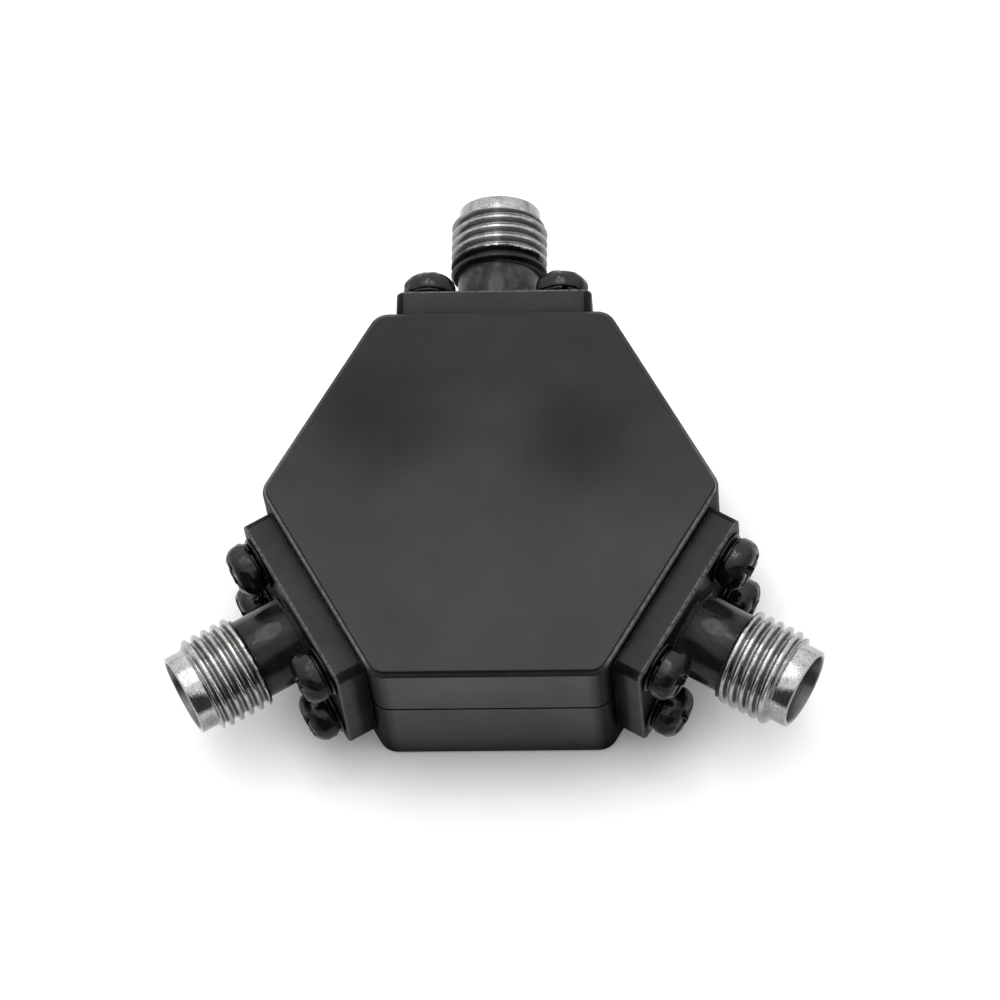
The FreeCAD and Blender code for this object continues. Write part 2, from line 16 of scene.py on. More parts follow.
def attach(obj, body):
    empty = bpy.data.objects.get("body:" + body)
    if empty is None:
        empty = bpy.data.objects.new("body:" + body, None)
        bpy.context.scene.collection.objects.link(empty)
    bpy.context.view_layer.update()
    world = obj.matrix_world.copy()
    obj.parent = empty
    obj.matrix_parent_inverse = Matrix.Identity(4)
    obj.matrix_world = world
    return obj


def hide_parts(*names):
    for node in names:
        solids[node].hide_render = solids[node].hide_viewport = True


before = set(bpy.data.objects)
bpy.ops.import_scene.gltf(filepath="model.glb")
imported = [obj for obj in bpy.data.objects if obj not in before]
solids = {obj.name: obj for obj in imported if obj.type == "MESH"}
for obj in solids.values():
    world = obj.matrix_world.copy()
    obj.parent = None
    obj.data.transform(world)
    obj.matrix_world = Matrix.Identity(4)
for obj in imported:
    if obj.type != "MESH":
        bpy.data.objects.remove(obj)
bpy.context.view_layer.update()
MM = 0.001


def add_object(name, data):
    made = bpy.data.objects.new(name, data)
    bpy.context.collection.objects.link(made)
    return made


# %% [markdown]
# ## Camera
# The photo looks down on the splitter from high in front, a little from one side and with
# the camera turned slightly about its own axis. A camera could be placed by eye, but a long
# lens shows small mistakes. The place below comes from lining up the housing's corners, so
# the model and the photo fall on each other.

# %% Place the camera
AZIMUTH, ELEVATION, ROLL = math.radians(-8.05), math.radians(65.218), math.radians(-8.013)
LOOK_AT = Vector((0.651, -0.621, 12.65)) * MM
DISTANCE = 350 * MM
SENSOR = 36.0
SENSORS_TO_FOCUS = 5.49726

forward = Vector((math.sin(AZIMUTH) * math.cos(ELEVATION),
                  math.cos(AZIMUTH) * math.cos(ELEVATION),
                  -math.sin(ELEVATION)))
level = Vector((math.cos(AZIMUTH), -math.sin(AZIMUTH), 0))
upward = level.cross(forward)
across = math.cos(ROLL) * level + math.sin(ROLL) * upward
raised = -math.sin(ROLL) * level + math.cos(ROLL) * upward

camera_data = bpy.data.cameras.new("camera")
camera_data.lens = SENSOR * SENSORS_TO_FOCUS
camera_data.sensor_width = SENSOR
camera_data.clip_start = 0.01
camera = add_object("camera", camera_data)
turn = Matrix((across, raised, -forward)).transposed().to_4x4()
camera.matrix_world = Matrix.Translation(LOOK_AT - forward * DISTANCE) @ turn
bpy.context.scene.camera = camera
print("camera stands", [round(c, 3) for c in camera.matrix_world.translation])

# %% [markdown]
# ## Recipes made of nodes
# Light, paper and every finish are small trees of nodes. Written out in full they are long
# and hard to read, so each helper below adds one node and takes numbers, colours or other
# nodes alike. Most of them handle shares: numbers from 0 to 1 that say how much of something
# a spot gets.


# %% Nodes and sums
class Recipe:
    """The nodes of one material or of the sky."""

    def __init__(self, owner):
        owner.use_nodes = True
        self.tree = owner.node_tree

    def node(self, kind, **settings):
        made = self.tree.nodes.new(kind)
        for key, setting in settings.items():
            setattr(made, key, setting)
        return made

    def feed(self, socket, part):
        """Give a socket a number, a place, a colour or what another node gives out."""
        if isinstance(part, (int, float)):
            socket.default_value = part
        elif isinstance(part, tuple):
            socket.default_value = part + (1,) * (len(socket.default_value) - len(part))
        else:
            self.tree.links.new(part, socket)

    def feed_all(self, made, parts):
        """Feed a node's sockets, by name or its first ones in turn."""
        if not isinstance(parts, dict):
            parts = dict(enumerate(parts))
        for key, part in parts.items():
            self.feed(made.inputs[key], part)
        return made.outputs

    def maths(self, kind, *parts):
        return self.feed_all(self.node("ShaderNodeMath", operation=kind), parts)[0]

    def vector(self, kind, *parts):
        """A sum on places, which gives a place or, for a distance and the like, a number."""
        given = self.feed_all(self.node("ShaderNodeVectorMath", operation=kind), parts)
        return given["Vector" if kind == "MULTIPLY" else "Value"]

    def times(self, share, *others):
        for other in others:
            share = self.maths("MULTIPLY", share, other)
        return share

    def most(self, share, *others):
        for other in others:
            share = self.maths("MAXIMUM", share, other)
        return share

    def spread(self, value, low, high, to_low=0.0, to_high=1.0, way="LINEAR"):
        """Map the part of a value between low and high to a new range."""
        made = self.node("ShaderNodeMapRange", interpolation_type=way)
        return self.feed_all(made, (value, low, high, to_low, to_high))[0]

    def blend(self, share, one, other):
        """Two colours, mixed by a share."""
        made = self.node("ShaderNodeMix", data_type="RGBA")
        return self.feed_all(made, {"Factor": share, "A": one, "B": other})["Result"]

    def blend_numbers(self, share, one, other):
        gap = self.maths("SUBTRACT", other, one)
        return self.maths("ADD", self.times(gap, share), one)


print("recipe helpers are ready")

# %% [markdown]
# ## The white sheet
# The splitter lies on white paper. The paper is bright round it and painted grey further off,
# beyond the picture, as painted shade: black walls and steel mirror the floor, and over an
# endless white one they would look pale. Right beside the part the paper is darker: a test for
# nooks paints a contact shadow into its colour, without any drawing.

# %% Lay the sheet
FLOOR_HALF = 1.5
BRIGHT_TO, GREY_FROM = 0.054, 0.115
BRIGHT, GREY = 0.90, 0.36
PAINTED_SHADOW_REACH = 0.004

floor_mesh = bpy.data.meshes.new("floor")
floor_mesh.from_pydata([(x * FLOOR_HALF, y * FLOOR_HALF, 0)
                        for x, y in ((-1, -1), (1, -1), (1, 1), (-1, 1))], [], [(0, 1, 2, 3)])
floor_mesh.update()
floor = add_object("floor", floor_mesh)

white_sheet = bpy.data.materials.new("white_sheet")
paper = Recipe(white_sheet)
reach = paper.vector("LENGTH", paper.node("ShaderNodeTexCoord").outputs["Object"])
# painted shade: the paper's colour fades to grey far off, for walls and steel to mirror
fade = paper.node("ShaderNodeValToRGB")
fade.color_ramp.interpolation = "EASE"
for stop, place, tone in zip(fade.color_ramp.elements, (BRIGHT_TO, GREY_FROM), (BRIGHT, GREY)):
    stop.position, stop.color = place, (tone, tone, tone, 1)
# painted contact shadow: the nook test darkens the paper's colour right beside the part
contact = paper.feed_all(paper.node("ShaderNodeAmbientOcclusion", samples=4),
                         {"Color": paper.feed_all(fade, [reach])["Color"],
                          "Distance": PAINTED_SHADOW_REACH})
paper.feed_all(paper.tree.nodes["Principled BSDF"],
               {"Base Color": contact["Color"], "Roughness": 0.9, "Specular IOR Level": 0.1,
                "Emission Color": (1, 1, 1), "Emission Strength": 0.15})
floor_mesh.materials.append(white_sheet)
print("sheet is white to %.0f mm and grey from %.0f mm" % (BRIGHT_TO / MM, GREY_FROM / MM))

# %% [markdown]
# ## The light tent
# The photo's shadow is short and soft, as in a light tent. The steel shows what stands round
# it: a bright patch of the tent's roof, pale sides, and one dark band where it mirrors the
# dim room beyond the tent's open front. Lamps alone would light it but leave the steel
# nothing to mirror, so the whole tent is drawn into the sky: a pale dome, a brighter roof
# and a dim front. One narrow lamp behind the roof adds the fine glints.

# %% Draw the tent
SIDES, FRONT, ROOF = 1.35, 0.08, 1.20
FRONT_EDGE, ROOF_EDGE = (0.50, 0.66), (0.87, 0.965)
FRONT_TOWARDS = (0, -1, 0)
ROOF_TOWARDS = tuple(Vector((-0.17, 0.24, 0.955)).normalized())
STRIP_SIZE, STRIP_WATTS = (0.006, 0.20), 0.18
STRIP_AT = Vector((-0.058, 0.415, 0.908)) * 0.5

sky = bpy.data.worlds.new("tent")
tent = Recipe(sky)
towards = tent.node("ShaderNodeTexCoord").outputs["Generated"]


def tent_part(direction, edge, outside, inside):
    """Light that changes softly across the edge of a part of the tent."""
    facing = tent.vector("DOT_PRODUCT", towards, direction)
    return tent.spread(facing, *edge, outside, inside, way="SMOOTHSTEP")


light = tent.maths("ADD", tent_part(FRONT_TOWARDS, FRONT_EDGE, SIDES, FRONT),
                   tent_part(ROOF_TOWARDS, ROOF_EDGE, 0, ROOF))
tent.feed_all(tent.tree.nodes["Background"], {"Strength": light, "Color": (1, 1, 1)})
bpy.context.scene.world = sky

strip_data = bpy.data.lights.new("strip_lamp", "AREA")
strip_data.shape = "RECTANGLE"
strip_data.size, strip_data.size_y = STRIP_SIZE
strip_data.energy = STRIP_WATTS
strip = add_object("strip_lamp", strip_data)
strip.location = STRIP_AT
strip.rotation_euler = (-strip.location).to_track_quat("-Z", "Y").to_euler()
bpy.context.scene.view_settings.view_transform = "Standard"
print("tent is ready, its roof", SIDES + ROOF, "and its open front", FRONT)

# %% [markdown]
# ## Finishes that ask the surface
# Paint, wear and light follow the form: edges get a painted highlight, nooks get painted shade,
# and what faces up gets a painted sheen, as light falls from above. Masks could be drawn by
# hand, but then they would fit one shape only. Here a rounded-edge test finds the edges, a short
# look round finds the nooks, and the surface's own normal tells top from wall. Colour and skin
# come from noise measured in millimetres, so nothing is unwrapped and the grain is equally fine
# on every piece.


# %% Start a finish
class Finish(Recipe):
    """A material that knows its noise, its edges, its nooks and its upper side."""

    def __init__(self, name):
        self.material = bpy.data.materials.new(name)
        super().__init__(self.material)
        self.shader = self.tree.nodes["Principled BSDF"]
        self.place = self.node("ShaderNodeTexCoord").outputs["Object"]

    def along(self, letter, place=None):
        """How far a place lies along X, Y or Z."""
        return self.feed_all(self.node("ShaderNodeSeparateXYZ"), [place or self.place])[letter]

    def grain(self, size_mm, detail=3.0, place=None, rough=0.55):
        """Noise whose patches are about size_mm across."""
        return self.feed_all(self.node("ShaderNodeTexNoise"),
                             {"Vector": place or self.place, "Scale": 1 / (size_mm * MM),
                              "Detail": detail, "Roughness": rough})[0]

    def edges(self, reach_mm):
        """A share that is 1 on edges and 0 on open faces, and a normal that rounds them."""
        rounded = self.feed_all(self.node("ShaderNodeBevel", samples=4),
                                {"Radius": reach_mm * MM})[0]
        flat = self.node("ShaderNodeNewGeometry").outputs["True Normal"]
        return self.spread(self.vector("DOT_PRODUCT", rounded, flat), 0.998, 0.975), rounded

    def lean(self):
        """Height of the surface's normal: 1 on top, 0 on a wall, -1 below."""
        return self.along("Z", self.node("ShaderNodeNewGeometry").outputs["Normal"])

    def leaning(self, level):
        """A share that is 1 where the surface's normal has this height."""
        return self.maths("COMPARE", self.lean(), level, 0.04)

    def wall(self):
        """A share that is 1 on walls and below, and 0 on what faces up."""
        return self.spread(self.lean(), 0.3, 0.6, 1, 0)

    def unshaded_share(self, reach_mm, closed):
        """A share that is 1 in the open and falls to 0 in nooks, where painted shade goes."""
        seen = self.feed_all(self.node("ShaderNodeAmbientOcclusion", samples=3),
                             {"Distance": reach_mm * MM})
        return self.spread(seen["AO"], closed, 0.97)

    def height(self, value, depth_mm, below=None):
        """Raise the surface by a value times a depth."""
        parts = {"Strength": 1.0, "Distance": depth_mm * MM, "Height": value}
        if below:
            parts["Normal"] = below
        return self.feed_all(self.node("ShaderNodeBump"), parts)[0]

    def finish(self, colour, roughness, skin, metallic=0.0, shine=0.5):
        """Join it all to the shader. Shine says how strongly a coat mirrors."""
        self.feed_all(self.shader, {"Base Color": colour, "Roughness": roughness, "Normal": skin,
                                    "Metallic": metallic, "Specular IOR Level": shine})
        return self.material


print("finish helpers are ready")

# %% [markdown]
# ## Satin black paint on the housing
# The housing is machined aluminium under a thin coat of satin black. Up close such paint is
# never one colour. It has a fine orange-peel skin, slow changes of tone and a black line where
# the halves meet. Light is painted on as well: two soft spots of painted shade on the top,
# painted shade on the walls behind the flanges, in nooks and towards the bottom, a top painted
# lighter towards the front, a chamfer painted dark as a dark reflection, and a painted
# highlight, a greyer line, along the long edges of the top. One even black would look like
# plastic, so noise makes the skin, and places measured on the housing say where the spots,
# the seam and the highlighted edges lie.

# %% Places on the housing
def mm(*sizes):
    return tuple(size * MM for size in sizes)


def outwards(angle):
    """The direction in which a port looks."""
    return (math.cos(math.radians(angle)), math.sin(math.radians(angle)), 0)


PORTS = {"rear": 90, "left": 210, "right": 330}
FACE, AXIS_HEIGHT = 12.7, 6.8
SEAM, SEAM_WIDTH = 7.5 * MM, mm(0.08, 0.14)
# two soft spots of painted shade on the top, each given by x, y and reach
SHADE_SPOTS = [mm(-7.0, 5.0, 6.5), mm(5.7, 4.2, 6.0)]
# painted shade on the port walls and towards the bottom, a painted highlight on the top's edges,
# clearest on the front, and a top painted lighter towards the front
PORT_WALL, TOP_EDGE, LOW_TO_HIGH = mm(11.8, 12.45), mm(11.8, 12.3), mm(1, 12)
HIGHLIGHT_FROM, HIGHLIGHT_TO = mm(12.69, 12.76), mm(12.90, 12.84)
FRONT_HALF, FRONT_FACE, BACK_TO_FRONT = mm(6, 0), mm(-12.4, -11.8), mm(8, -5)
HIGHLIGHT_GREY, SPECK_GREY = (0.13, 0.13, 0.134), (0.03, 0.03, 0.032)
print("ports at", PORTS, "degrees, seam %.1f mm up" % (SEAM / MM))


# %% Painted shade spots, port walls and the painted edge highlight
def shade_spot_shares(paint):
    """For each spot of painted shade, a share that is 0 in its middle and 1 outside it."""
    flat = paint.vector("MULTIPLY", paint.place, (1, 1, 0))
    return [paint.spread(paint.vector("DISTANCE", flat, (x, y, 0)), 0, reach, way="SMOOTHSTEP")
            for x, y, reach in SHADE_SPOTS]


def port_wall_shares(paint):
    """For each port, a share that is 1 on the wall that carries its flange, for painted shade."""
    shares = []
    for angle in PORTS.values():
        reach = paint.vector("DOT_PRODUCT", paint.place, outwards(angle))
        shares.append(paint.times(paint.wall(), paint.spread(reach, *PORT_WALL)))
    return shares


def edge_highlight_share(paint, edge, chamfer):
    """Painted highlight on the top's edge: a line on the chamfer, clearest at the front."""
    depth, height = paint.along("Y"), paint.along("Z")
    flat = paint.most(paint.leaning(1.0), paint.leaning(0.0))
    rounds = paint.maths("SUBTRACT", 1.0, paint.most(flat, chamfer))
    line = paint.times(chamfer, paint.spread(height, *HIGHLIGHT_FROM),
                       paint.spread(height, *HIGHLIGHT_TO))
    front_half = paint.times(paint.spread(depth, *FRONT_HALF, 0.05, 1.0),
                             paint.spread(depth, *FRONT_FACE))
    return paint.times(paint.most(paint.times(paint.most(edge, rounds), 0.22), line),
                       paint.most(front_half, 0.12), paint.spread(height, *TOP_EDGE),
                       paint.spread(paint.grain(0.4, 5.0), 0.35, 0.60, 0.45, 1.0))


print(len(SHADE_SPOTS), "clouds in the paint")


# %% Paint for the housing
def satin_paint(name, dark, light, sheen):
    """Satin black with a fine skin, a dark seam, painted shade and painted edge highlights."""
    paint = Finish(name)
    shade_spots, walls = shade_spot_shares(paint), port_wall_shares(paint)
    from_seam = paint.maths("ABSOLUTE", paint.maths("SUBTRACT", paint.along("Z"), SEAM))
    # painted shade: less shine and a darker tone in nooks, in the shade spots and on the port
    # walls; along the seam it is a real dark joint
    gloss = paint.times(paint.unshaded_share(3.0, 0.45),
                        *[paint.spread(shade_spot, 0, 1, 0.76, 1.0) for shade_spot in shade_spots],
                        *[paint.spread(wall, 0, 1, 1.0, 0.15) for wall in walls],
                        paint.spread(from_seam, *SEAM_WIDTH, 0.10, 1.0))

    speck = paint.grain(0.22, 2.0)
    tone = paint.maths("ADD", paint.spread(paint.grain(13.0, 2.0), 0.35, 0.65, 0, 0.12),
                       paint.spread(paint.grain(3.2, 4.0), 0.3, 0.7, 0, 0.10))
    # painted light: the tone rises towards the front, so the top is painted lighter there
    tone = paint.maths("ADD", tone, paint.spread(paint.along("Y"), *BACK_TO_FRONT, 0.18, 0.85))
    # painted shade: the tone falls in the shade spots, with the gloss share, and towards the
    # bottom
    tone = paint.times(tone, *[paint.spread(shade_spot, 0, 1, 0.25, 1.0) for shade_spot in shade_spots], gloss,
                       paint.spread(paint.along("Z"), *LOW_TO_HIGH, 0.25, 1.0))
    colour = paint.blend(tone, dark, light)
    colour = paint.blend(paint.spread(speck, 0.68, 0.80, 0, 0.25), colour, SPECK_GREY)

    edge, rounded = paint.edges(0.12)
    chamfer = paint.leaning(math.sqrt(0.5))
    # painted shade: the chamfer is painted darker, as a dark reflection
    colour = paint.blend(paint.times(chamfer, 0.9), colour, dark)
    # painted highlight: a greyer line along the top's edges
    colour = paint.blend(edge_highlight_share(paint, edge, chamfer), colour, HIGHLIGHT_GREY)
    roughness = paint.spread(paint.grain(5.0, 4.0), 0.3, 0.7, sheen - 0.05, sheen + 0.06)
    skin = paint.height(paint.grain(0.45, 2.0), 0.008, rounded)
    return paint.finish(colour, roughness, paint.height(speck, 0.004, skin),
                        shine=paint.times(gloss, 0.19))


housing_paint = satin_paint("satin_black_paint", (0.0008, 0.0008, 0.0010),
                            (0.0235, 0.0230, 0.0230), 0.42)
print("housing paint:", len(housing_paint.node_tree.nodes), "nodes")

# %% [markdown]
# ## Bare steel and its painted half
# Each connector is one turned piece of stainless steel. Flange, neck and the first turns of
# the thread went black with the housing, and the rest of the thread stayed bare, with a
# chipped edge between. Two materials with a seam between them would give a clean line, so
# one material holds both and a ragged mask chooses, measured along the connector's own axis.
# The steel has turning marks, a coarse sparkle and warm stains, with painted shade in its
# grooves, in its mouth and on what faces down, and each connector's steel has its own painted
# brightness. The coat's shine is a painted sheen: strong on top, where light falls from above,
# and weaker below and in nooks, which is painted shade. The rear connector took a little more
# paint than the others, so each has its own line.


# %% Places on a connector, in millimetres along it or off its axis
FLANGE_FRONT, FLANGE_RIM, FLANGE_BACK = (2.0, 1.96), (1.79, 1.84), (1.25, 0.75)
NECK_FROM, NECK_TO = (2.1, 2.3), (5.35, 5.2)
GROOVES, THREAD_TO, MOUTH_WALL = (3.06, 2.86), (9.1, 8.9), (2.44, 2.36)
# painted shade for grooves and mouth, and a painted highlight for the coat's edges
GROOVE_SHADE_COLOUR, MOUTH_SHADE_COLOUR, EDGE_HIGHLIGHT_GREY = (0.09, 0.086, 0.08), (0.115, 0.113, 0.106), (0.115, 0.115, 0.118)


def port_places(metal, port_angle):
    """A place turned to the port, and how far it is along the port and off its axis."""
    place = metal.feed_all(metal.node("ShaderNodeVectorRotate", rotation_type="Z_AXIS"),
                           {"Vector": metal.place, "Angle": -math.radians(port_angle)})[0]
    along = metal.maths("SUBTRACT", metal.maths("DIVIDE", metal.along("X", place), MM), FACE)
    section = metal.vector("MULTIPLY", place, (0, 1, 1))
    away = metal.vector("DISTANCE", section, (0, 0, AXIS_HEIGHT * MM))
    return place, along, metal.maths("DIVIDE", away, MM)


def bare_share(metal, along, paint_end):
    """A share that is 1 beyond a ragged, chipped line across the connector."""
    ragged = metal.spread(metal.grain(0.9, 6.0, rough=0.7), 0.3, 0.7, -0.12, 0.12)
    chips = metal.spread(metal.grain(0.16, 3.0), 0.64, 0.70, 0, 0.34)
    line = metal.maths("ADD", metal.maths("ADD", along, ragged), chips)
    return metal.spread(line, paint_end - 0.02, paint_end + 0.02)


def mouth_share(metal, away):
    """A share that is 1 inside the mouth, where the steel gets painted shade and more roughness.
    """
    return metal.spread(away, *MOUTH_WALL)


print("a port's axis lies", AXIS_HEIGHT, "mm up and starts", FACE, "mm out")


# %% The bare steel
def steel_colour(metal, along, away, turning, sparkle, painted_brightness, groove_shade):
    """Stained, sparkling steel with painted shade in its grooves, below, and in the mouth."""
    # the lighter steel colours are scaled by the port's painted brightness
    def lit(*colour):
        return tuple(painted_brightness * c for c in colour)

    clean, stained = lit(0.39, 0.39, 0.388), lit(0.25, 0.245, 0.237)
    marks, warm, shade_below = (0.22, 0.22, 0.217), (0.19, 0.165, 0.14), (0.07, 0.068, 0.065)
    glint, pit = lit(0.60, 0.60, 0.60), lit(0.09, 0.09, 0.09)
    grooves = metal.times(metal.spread(away, *GROOVES), metal.spread(along, *THREAD_TO))
    steel = metal.blend(metal.spread(metal.grain(1.1, 5.0), 0.35, 0.7), clean, stained)
    steel = metal.blend(metal.spread(turning, 0.35, 0.75, 0, 0.5), steel, marks)
    steel = metal.blend(metal.spread(metal.grain(0.8, 4.0), 0.55, 0.66, 0, 0.6), steel, warm)
    steel = metal.blend(metal.spread(sparkle, 0.52, 0.66, 0, 0.6), steel, glint)
    steel = metal.blend(metal.spread(sparkle, 0.47, 0.36, 0, 0.65), steel, pit)
    # painted shade in the thread's grooves
    steel = metal.blend(metal.times(grooves, groove_shade), steel, GROOVE_SHADE_COLOUR)
    # painted shade on the steel's walls and on what faces down
    steel = metal.blend(metal.spread(metal.lean(), 0.80, 0.10, 0, 0.55), steel, shade_below)
    # painted shade inside the mouth
    return metal.blend(metal.times(mouth_share(metal, away), 0.85), steel, MOUTH_SHADE_COLOUR)


print("grime in the grooves, from %.2f mm inwards" % GROOVES[0])


# %% The black coat
def coat_gloss(metal, along, plate):
    """Painted sheen of the coat: full on top, less on walls, in nooks and on flange corners."""
    corner = metal.times(plate, metal.spread(metal.leaning(0.0), 1, 0),
                         metal.spread(metal.leaning(1.0), 1, 0))
    behind = metal.times(metal.wall(), metal.spread(along, *FLANGE_BACK))
    return metal.times(metal.unshaded_share(1.5, 0.35),
                       metal.spread(metal.lean(), -0.3, 0.8, 0.35, 1.0),
                       metal.spread(corner, 0, 1, 1.0, 0.2), metal.spread(behind, 0, 1, 1.0, 0.15))


def coat_colour(metal, along, plate, edge, worn):
    """Black with worn blotches on the neck and a grey painted highlight on edges and the flange's
    rim.
    """
    coat = metal.blend(metal.spread(metal.grain(1.6, 4.0), 0.35, 0.65),
                       (0.0015, 0.0015, 0.0017), (0.0075, 0.0075, 0.0075))
    neck = metal.times(metal.spread(along, *NECK_FROM, 0, worn), metal.spread(along, *NECK_TO))
    blotch = metal.spread(metal.grain(1.3, 5.0, rough=0.7), 0.42, 0.62)
    coat = metal.blend(metal.times(blotch, neck), coat, (0.050, 0.050, 0.050))
    broken = metal.times(metal.spread(along, *FLANGE_RIM), plate,
                         metal.spread(metal.leaning(0.0), 1, 0))
    # painted highlight: edges and the flange's broken rim get a grey line
    edge_highlight = metal.times(metal.most(edge, broken),
                         metal.spread(metal.grain(0.25, 4.0), 0.35, 0.6, 0.25, 1.0),
                         metal.spread(plate, 0, 1, 0.25, 1.0))
    return metal.blend(edge_highlight, coat, EDGE_HIGHLIGHT_GREY)


print("blotches on the neck, from %.1f to %.2f mm" % (NECK_FROM[0], NECK_TO[0]))


# %% Both on one connector
def half_painted_steel(name, port_angle, paint_end, neck_sheen, steel_sheen, painted_brightness, groove_shade, worn):
    """Black coat up to a ragged line at paint_end along the connector, bare steel beyond."""
    metal = Finish(name)
    place, along, away = port_places(metal, port_angle)
    bare = bare_share(metal, along, paint_end)
    plate = metal.spread(along, *FLANGE_FRONT)
    edge, rounded = metal.edges(0.12)
    turning = metal.grain(1.0, 3.0, metal.vector("MULTIPLY", place, (9.0, 0.1, 0.1)))
    sparkle = metal.grain(0.10, 4.0, rough=0.8)
    steel = steel_colour(metal, along, away, turning, sparkle, painted_brightness, groove_shade)
    coat = coat_colour(metal, along, plate, edge, worn)

    neck_rough = metal.spread(metal.grain(0.9, 4.0), 0.35, 0.65,
                              neck_sheen - 0.05, neck_sheen + 0.08)
    plate_rough = metal.spread(metal.grain(3.0, 3.0), 0.3, 0.7, 0.40, 0.46)
    coat_rough = metal.blend_numbers(plate, neck_rough, plate_rough)
    steel_rough = metal.spread(turning, 0.25, 0.75, steel_sheen - 0.05, steel_sheen + 0.05)
    steel_rough = metal.maths("ADD", steel_rough, metal.times(mouth_share(metal, away), 0.25))
    skin = metal.height(metal.maths("SUBTRACT", 1.0, bare), 0.03, rounded)
    skin = metal.height(metal.grain(0.6, 2.0), 0.014, skin)
    marks = metal.maths("ADD", turning, metal.times(sparkle, 0.25))
    skin = metal.height(metal.times(marks, bare), 0.010, skin)
    return metal.finish(metal.blend(bare, coat, steel),
                        metal.blend_numbers(bare, coat_rough, steel_rough), skin, bare,
                        metal.times(coat_gloss(metal, along, plate), 0.25))


# paint's end, sheen of neck and of steel, painted brightness, groove shade, wear of the neck
COAT_AND_STEEL = {"rear": (6.36, 0.30, 0.20, 1.12, 0.60, 0.9),
                  "left": (5.56, 0.15, 0.11, 1.34, 0.42, 0.1),
                  "right": (5.56, 0.17, 0.11, 1.30, 0.42, 0.1)}
connector_metal = {port: half_painted_steel(port + "_painted_and_bare_steel", PORTS[port], *mix)
                   for port, mix in COAT_AND_STEEL.items()}
print("connector metal:", len(connector_metal["rear"].node_tree.nodes), "nodes each")

# %% [markdown]
# ## The other finishes
# The screws got their black by brush after they were driven home, so their paint is glossy
# and lumpy. Inside sit waxy white insulators, gold contacts and a small circuit. Few people
# see them, but a part that comes apart shows everything, so each gets a finish of its own.
# Nearly all are two tones in patches under a fine skin, so one recipe serves them. Only the
# chip resistor, black with tinned ends, needs its own.


# %% Two tones and a skin
def plain_finish(name, one, other, patch_mm, rough, skin_mm, skin_depth, metallic=0.0,
                 gloss=None):
    """Two tones and a fine skin. Gloss gives the shine on walls and the painted sheen on top."""
    coat = Finish(name)
    colour = coat.blend(coat.spread(coat.grain(patch_mm, 4.0), 0.3, 0.7), one, other)
    roughness = coat.spread(coat.grain(patch_mm * 0.6, 3.0), 0.3, 0.7, *rough)
    shine = 0.5
    if gloss:
        shine = coat.spread(coat.lean(), 0.6, 0.97, *gloss)
        on_top = coat.spread(coat.lean(), 0.7, 1.0, 0.0, 0.10)
        roughness = coat.maths("SUBTRACT", roughness, on_top)
    skin = coat.height(coat.grain(skin_mm, 3.0), skin_depth)
    return coat.finish(colour, roughness, skin, metallic, shine)


# painted sheen: screws and resin shine more on what faces up, where light falls from above
fastener_paint = plain_finish("brushed_on_black", (0.001, 0.001, 0.0012), (0.005, 0.005, 0.005),
                              0.9, (0.18, 0.34), 0.4, 0.04, gloss=(0.12, 0.38))
resin_black = plain_finish("painted_resin", (0.002, 0.002, 0.002), (0.006, 0.006, 0.006),
                           0.9, (0.42, 0.54), 0.6, 0.006, gloss=(0.25, 0.42))
insulator_white = plain_finish("waxy_white", (0.84, 0.84, 0.82), (0.74, 0.74, 0.71),
                               1.4, (0.38, 0.5), 0.25, 0.006)
wax = insulator_white.node_tree.nodes["Principled BSDF"]
wax.inputs["Subsurface Weight"].default_value = 0.15
wax.inputs["Subsurface Scale"].default_value = 0.8 * MM
contact_gold = plain_finish("gold_plate", (0.86, 0.62, 0.26), (0.74, 0.52, 0.20),
                            0.7, (0.16, 0.3), 0.12, 0.004, 1.0)
laminate = plain_finish("glass_laminate", (0.78, 0.74, 0.60), (0.66, 0.62, 0.49),
                        1.1, (0.45, 0.6), 0.15, 0.01)
copper_gold = plain_finish("flashed_copper", (0.83, 0.58, 0.28), (0.72, 0.46, 0.24),
                           0.8, (0.22, 0.4), 0.1, 0.006, 1.0)
screw_steel = plain_finish("plain_steel", (0.62, 0.61, 0.60), (0.50, 0.49, 0.48),
                           0.5, (0.22, 0.38), 0.08, 0.005, 1.0)
print("brushed-on black:", len(fastener_paint.node_tree.nodes), "nodes")

# %% The chip resistor
CHIP_FROM, CHIP_TO, TINNED = 1.2, 2.8, 0.3


def chip_finish(name):
    """Black film with tinned ends, chosen by the distance from the housing's axis."""
    chip = Finish(name)
    flat = chip.vector("MULTIPLY", chip.place, (1, 1, 0))
    away = chip.maths("DIVIDE", chip.vector("LENGTH", flat), MM)
    inner, outer = CHIP_FROM + TINNED, CHIP_TO - TINNED
    ends = chip.most(chip.spread(away, inner + 0.02, inner - 0.02),
                     chip.spread(away, outer - 0.02, outer + 0.02))
    film = chip.blend(chip.spread(chip.grain(0.3, 3.0), 0.3, 0.7),
                      (0.018, 0.018, 0.02), (0.035, 0.035, 0.04))
    tin = chip.blend(chip.spread(chip.grain(0.2, 3.0), 0.3, 0.7),
                     (0.66, 0.66, 0.65), (0.52, 0.52, 0.51))
    roughness = chip.spread(chip.grain(0.25, 3.0), 0.3, 0.7, 0.25, 0.42)
    return chip.finish(chip.blend(ends, film, tin), roughness,
                       chip.height(chip.grain(0.15, 2.0), 0.01), ends)


chip_black = chip_finish("chip_resistor")
print("chips are %.1f mm long" % (CHIP_TO - CHIP_FROM))

# %% [markdown]
# ## Dress the solids that keep their own shape
# A solid whose shape is already right only needs its finish. Housing halves, insulators,
# contacts and the circuit stay as they are, and a short table says which finish each kind of
# piece takes. The first words that fit a solid's name count, so the longer ones come first.

